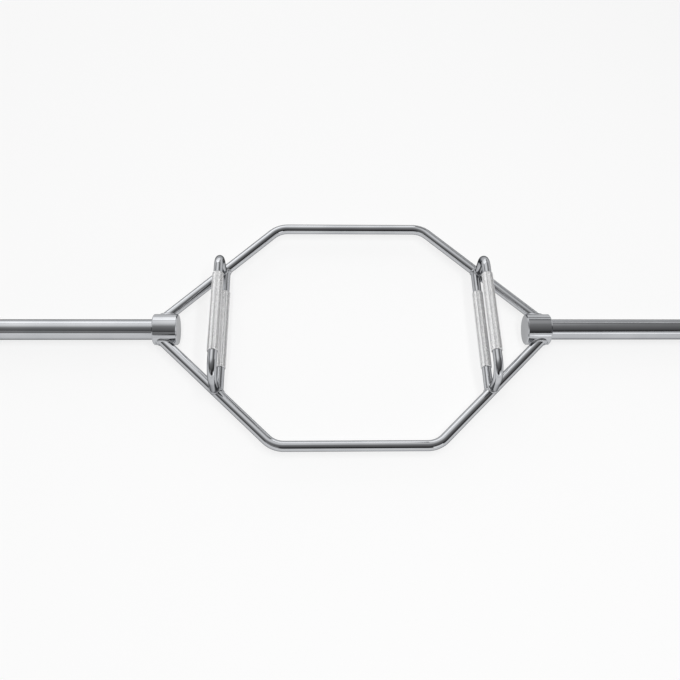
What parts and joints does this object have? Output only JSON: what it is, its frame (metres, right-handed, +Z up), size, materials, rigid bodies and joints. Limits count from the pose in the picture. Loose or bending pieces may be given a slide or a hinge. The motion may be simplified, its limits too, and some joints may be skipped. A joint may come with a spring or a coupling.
{
  "type": "hex trap bar",
  "caption": "Chromed hexagonal deadlift bar with knurled low and raised handles and a plate sleeve at each end.",
  "frame": {"origin": "on the floor under the middle of the frame; the lowest lines of both hubs lie on the floor", "axes": "+X along the right plate sleeve, +Y to the rear frame bar, +Z up through the raised handles"},
  "size_m": [1.83, 0.639, 0.1375],
  "materials": {
    "frame_chrome": "bright chrome plate over polished round bar",
    "hub_chrome": "bright chrome plate over a turned barrel",
    "sleeve_chrome": "bright chrome plate with faint turning lines and plate rub",
    "plug_chrome": "bright chrome plate over a turned disc",
    "handle_chrome": "bright chrome plate over polished round bar",
    "knurled_chrome": "chrome plate over diamond knurling, satin at arm's length",
    "weld_chrome": "chrome plate over a rippled weld bead"
  },
  "bodies": {
    "root": {"rear_frame_bar": "frame_chrome", "front_frame_bar": "frame_chrome", "hubs": "hub_chrome", "left_sleeve": "sleeve_chrome", "right_sleeve": "sleeve_chrome", "sleeve_plugs": "plug_chrome", "left_low_handle": "handle_chrome", "right_low_handle": "handle_chrome", "high_handles": "handle_chrome", "left_low_grip": "knurled_chrome", "right_low_grip": "knurled_chrome", "left_high_grip": "knurled_chrome", "right_high_grip": "knurled_chrome", "sleeve_welds": "weld_chrome", "rear_frame_welds": "weld_chrome", "rear_low_handle_welds": "weld_chrome", "rear_high_handle_welds": "weld_chrome", "front_frame_welds": "weld_chrome", "front_low_handle_welds": "weld_chrome", "front_high_handle_welds": "weld_chrome"}
  },
  "joints": []
}
